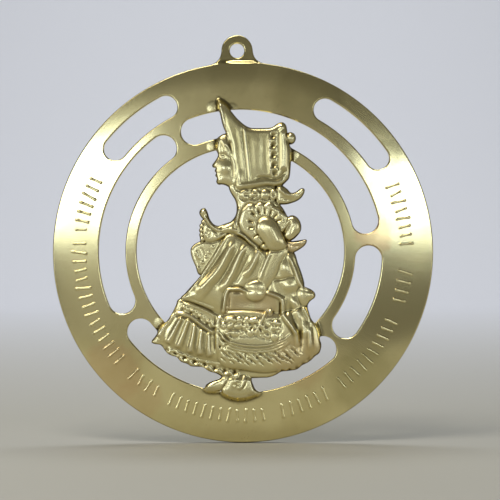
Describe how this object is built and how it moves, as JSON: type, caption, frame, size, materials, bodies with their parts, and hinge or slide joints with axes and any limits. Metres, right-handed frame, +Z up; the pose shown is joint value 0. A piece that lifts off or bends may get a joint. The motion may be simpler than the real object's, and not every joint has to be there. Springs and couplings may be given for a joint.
{
  "type": "wall plaquette",
  "caption": "Round pierced wall plaque of cast brass: a broad ring and thin hoop around a bonneted girl with a flower basket in half relief, with a hanging ear.",
  "frame": {"origin": "centre of the hanging hole on the wall plane, at the flat back", "axes": "+Z up along the figure, +Y into the wall (the front faces -Y), +X to the viewer's right"},
  "size_m": [0.1904, 0.0101, 0.204],
  "materials": {
    "brass": "cast brass, face polished and since dulled, brown tarnish in the recesses and in patches"
  },
  "bodies": {
    "root": {"plaquette": "brass"}
  },
  "joints": []
}
